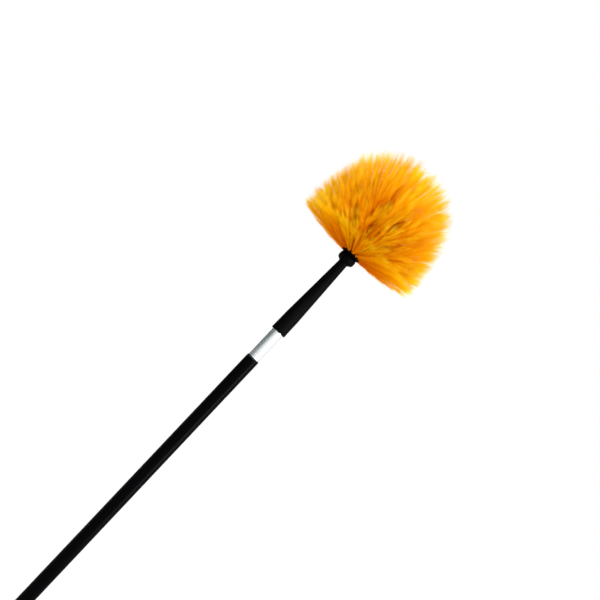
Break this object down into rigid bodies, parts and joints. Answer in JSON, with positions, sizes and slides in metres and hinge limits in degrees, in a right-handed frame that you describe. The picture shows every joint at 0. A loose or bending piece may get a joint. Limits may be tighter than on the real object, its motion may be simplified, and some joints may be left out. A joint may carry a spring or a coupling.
{
  "type": "cobweb brush",
  "caption": "Dome-headed cobweb brush: radial bristle tufts in a bullet-shaped block on a tapered neck, pushed onto a telescopic pole with a twist lock.",
  "frame": {"origin": "centre of the hanging eye in the end cap", "axes": "+Z along the pole, from the hanging eye to the crown of the bristles; +Y along the eye's axis"},
  "size_m": [0.228, 0.228, 1.0656],
  "materials": {
    "bristles": "matte",
    "neck_plastic": "satin",
    "black_plastic": "satin",
    "black_tube": "satin",
    "bare_tube": "satin",
    "soft_grip": "matte",
    "white_plastic": "satin",
    "grey_plastic": "satin",
    "steel": "satin"
  },
  "bodies": {
    "handle": {"outer_tube": "black_tube", "mouth_bush": "black_plastic", "grip_sleeve": "soft_grip", "end_cap": "black_plastic"},
    "lock_ring": {"glide_ring": "white_plastic"},
    "inner_pole": {"inner_tube": "bare_tube", "lock_plug": "grey_plastic", "cam_washer": "steel", "cam_screw": "steel", "pole_tip": "black_plastic"},
    "cam": {"lock_cam": "white_plastic"},
    "head": {"neck": "neck_plastic", "neck_washer": "steel", "neck_screw": "steel", "brush_block": "neck_plastic", "tuft_anchors": "steel", "tufts_ring_1": "bristles", "tufts_ring_2": "bristles", "tufts_ring_3": "bristles", "tufts_ring_4": "bristles", "tufts_ring_5": "bristles", "tufts_ring_6": "bristles", "tufts_ring_7": "bristles", "crown_tuft": "bristles"}
  },
  "joints": [
    {"name": "pole_slide", "type": "slide", "parent": "handle", "child": "lock_ring", "axis": [0, 0, 1], "range_m": [-0.052, 0.478]},
    {"name": "pole_twist", "type": "hinge", "parent": "lock_ring", "child": "inner_pole", "pos_m": [0, 0, 0.132], "axis": [0, 0, 1], "range_deg": [-26, 0]},
    {"name": "cam_turn", "type": "hinge", "parent": "inner_pole", "child": "cam", "pos_m": [0.001, 0, 0.119], "axis": [0, 0, 1], "range_deg": [0, 26]},
    {"name": "head_pull", "type": "slide", "parent": "inner_pole", "child": "head", "axis": [0, 0, 1], "range_m": [0, 0.06]}
  ],
  "couplings": [
    {"joint": "cam_turn", "follows": "pole_twist", "ratio": -1}
  ]
}
